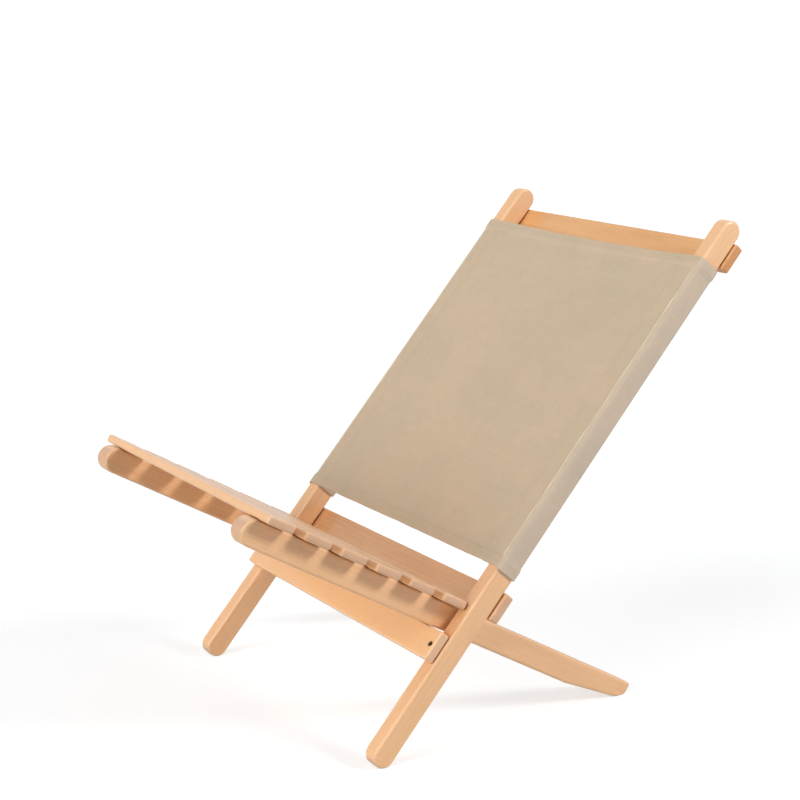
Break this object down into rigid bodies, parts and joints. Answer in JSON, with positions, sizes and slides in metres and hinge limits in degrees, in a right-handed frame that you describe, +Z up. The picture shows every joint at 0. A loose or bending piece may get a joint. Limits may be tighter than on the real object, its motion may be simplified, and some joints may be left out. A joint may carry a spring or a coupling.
{
  "type": "camp chair",
  "caption": "Low wooden camp chair: a canvas-backed frame and a slatted seat frame whose rails slot between its stiles and pull out for packing.",
  "frame": {"origin": "on the ground, on the chair's centre plane, midway between the nose of the rails and the back of the top board", "axes": "+Z up, +Y to the rear of the chair, +X to the sitter's left"},
  "size_m": [0.397, 0.5994, 0.5254],
  "materials": {
    "beech": "pale beech, oiled satin",
    "canvas": "khaki plain-weave canvas, matte",
    "dark_steel": "blackened steel screws, satin"
  },
  "bodies": {
    "back_frame": {"canvas_back": "canvas", "front_board": "beech", "front_board_screw_left": "dark_steel", "front_board_screw_right": "dark_steel", "lower_rear_board": "beech", "lower_rear_board_screw_left": "dark_steel", "lower_rear_board_screw_right": "dark_steel", "stile_left": "beech", "stile_right": "beech", "top_board": "beech", "top_board_screw_left": "dark_steel", "top_board_screw_right": "dark_steel"},
    "seat_frame": {"rail_left": "beech", "rail_right": "beech", "slat_1": "beech", "slat_1_dowel_left": "beech", "slat_1_dowel_right": "beech", "slat_2": "beech", "slat_2_dowel_left": "beech", "slat_2_dowel_right": "beech", "slat_3": "beech", "slat_3_dowel_left": "beech", "slat_3_dowel_right": "beech", "slat_4": "beech", "slat_4_dowel_left": "beech", "slat_4_dowel_right": "beech", "slat_5": "beech", "slat_5_dowel_left": "beech", "slat_5_dowel_right": "beech", "slat_6": "beech", "slat_6_dowel_left": "beech", "slat_6_dowel_right": "beech"}
  },
  "joints": [
    {"name": "seat_slide", "type": "slide", "parent": "back_frame", "child": "seat_frame", "axis": [0, -0.8686, 0.4955], "range_m": [0, 0.32]}
  ]
}
